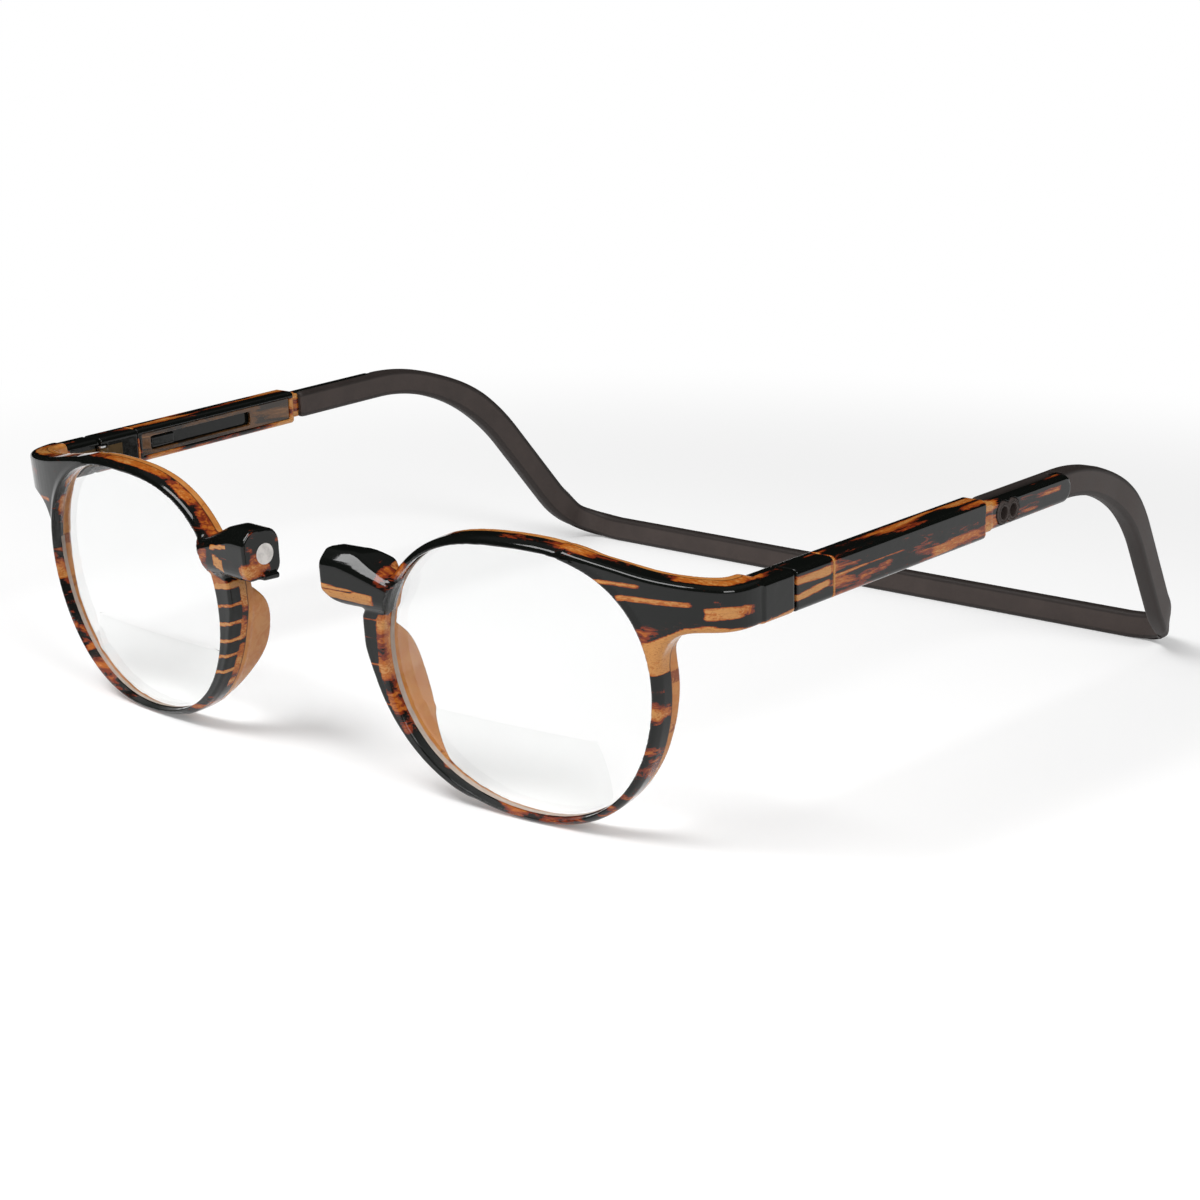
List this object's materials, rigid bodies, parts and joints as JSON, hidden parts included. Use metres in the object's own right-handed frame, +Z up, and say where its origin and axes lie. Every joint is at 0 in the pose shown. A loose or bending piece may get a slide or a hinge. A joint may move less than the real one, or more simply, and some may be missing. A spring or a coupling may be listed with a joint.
{
  "type": "bifocal glasses",
  "caption": "Front-opening bifocal glasses: round tortoise half fronts with magnets at the bridge, extending temples and a rubber neckband.",
  "frame": {"origin": "middle of the bounding box at the height of the surface that the rims and the neckband rest on", "axes": "+X towards the wearer's left temple, +Y backwards to the neckband, +Z up"},
  "size_m": [0.1512, 0.1519, 0.0413],
  "materials": {
    "tortoise_acetate": "polished, translucent tortoise",
    "amber_acetate": "polished, translucent amber",
    "clear_lens": "clear, polished",
    "magnet_metal": "satin plated",
    "hinge_brass": "gilt, polished",
    "screw_steel": "polished",
    "band_rubber": "matte"
  },
  "bodies": {
    "neckband_back": {"neckband_centre": "band_rubber"},
    "arm_left": {"neckband_left": "band_rubber", "band_eyelets_left": "band_rubber", "slider_left": "tortoise_acetate"},
    "temple_left": {"temple_sleeve_left": "tortoise_acetate", "sleeve_cover_left": "amber_acetate", "temple_root_left": "tortoise_acetate", "hinge_leaf_temple_left": "hinge_brass", "hinge_screw_left": "screw_steel"},
    "half_front_left": {"front_left": "tortoise_acetate", "lens_left": "clear_lens", "bridge_magnet_left": "magnet_metal", "hinge_leaf_front_left": "hinge_brass"},
    "arm_right": {"neckband_right": "band_rubber", "band_eyelets_right": "band_rubber", "slider_right": "tortoise_acetate"},
    "temple_right": {"temple_sleeve_right": "tortoise_acetate", "sleeve_cover_right": "amber_acetate", "temple_root_right": "tortoise_acetate", "hinge_leaf_temple_right": "hinge_brass", "hinge_screw_right": "screw_steel"},
    "half_front_right": {"front_right": "tortoise_acetate", "lens_right": "clear_lens", "bridge_magnet_right": "magnet_metal", "hinge_leaf_front_right": "hinge_brass"}
  },
  "joints": [
    {"name": "band_flex_left", "type": "hinge", "parent": "neckband_back", "child": "arm_left", "pos_m": [0.055, 0.07464, 0.00235], "axis": [0, 0, 1], "range_deg": [-2.95, 20], "stiffness_Nm_per_rad": 0.3},
    {"name": "temple_extend_left", "type": "slide", "parent": "arm_left", "child": "temple_left", "axis": [-0.0349, -0.9984, -0.0454], "range_m": [0, 0.018]},
    {"name": "front_fold_left", "type": "hinge", "parent": "temple_left", "child": "half_front_left", "pos_m": [0.06896, -0.05191, 0.03539], "axis": [0.0016, 0.0453, -0.999], "range_deg": [0, 85]},
    {"name": "band_flex_right", "type": "hinge", "parent": "neckband_back", "child": "arm_right", "pos_m": [-0.055, 0.07464, 0.00235], "axis": [0, 0, -1], "range_deg": [-2.95, 20], "stiffness_Nm_per_rad": 0.3},
    {"name": "temple_extend_right", "type": "slide", "parent": "arm_right", "child": "temple_right", "axis": [0.0349, -0.9984, -0.0454], "range_m": [0, 0.018]},
    {"name": "front_fold_right", "type": "hinge", "parent": "temple_right", "child": "half_front_right", "pos_m": [-0.06896, -0.05191, 0.03539], "axis": [0.0016, -0.0453, 0.999], "range_deg": [0, 85]}
  ]
}
